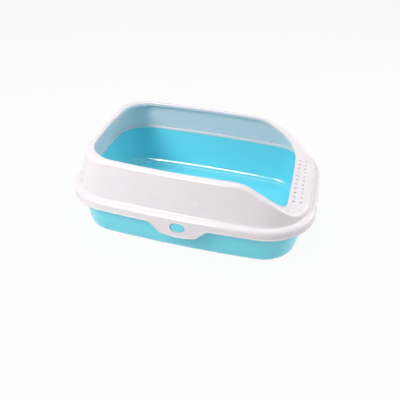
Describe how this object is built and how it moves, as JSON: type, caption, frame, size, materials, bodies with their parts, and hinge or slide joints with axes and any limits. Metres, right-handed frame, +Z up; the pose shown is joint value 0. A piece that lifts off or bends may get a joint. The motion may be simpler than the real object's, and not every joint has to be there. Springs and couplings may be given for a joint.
{
  "type": "semi-enclosed litter box",
  "caption": "Open litter pan for a cat with a high push-fit splash surround that swoops down to a low entry sill with a litter-catching grille.",
  "frame": {"origin": "on the floor, under the middle of the box seen from above", "axes": "+Z up, +X along the length towards the low entry sill, +Y towards the far long side"},
  "size_m": [0.5014, 0.3634, 0.176],
  "materials": {
    "pan_plastic": "glossy polypropylene moulding",
    "surround_plastic": "glossy polypropylene moulding"
  },
  "bodies": {
    "pan": {"litter_pan": "pan_plastic"},
    "surround": {"splash_surround": "surround_plastic"},
    "near_tab": {"near_snap_tab": "surround_plastic"},
    "far_tab": {"far_snap_tab": "surround_plastic"}
  },
  "joints": [
    {"name": "surround_lift", "type": "slide", "parent": "pan", "child": "surround", "axis": [0, 0, 1], "range_m": [0, 0.1], "deforming": ["near_snap_tab", "far_snap_tab"]},
    {"name": "near_tab_flex", "type": "hinge", "parent": "surround", "child": "near_tab", "pos_m": [-0.004, -0.18, 0.092], "axis": [-1, 0, 0], "range_deg": [0, 10], "stiffness_Nm_per_rad": 1},
    {"name": "far_tab_flex", "type": "hinge", "parent": "surround", "child": "far_tab", "pos_m": [-0.004, 0.18, 0.092], "axis": [1, 0, 0], "range_deg": [0, 10], "stiffness_Nm_per_rad": 1}
  ]
}
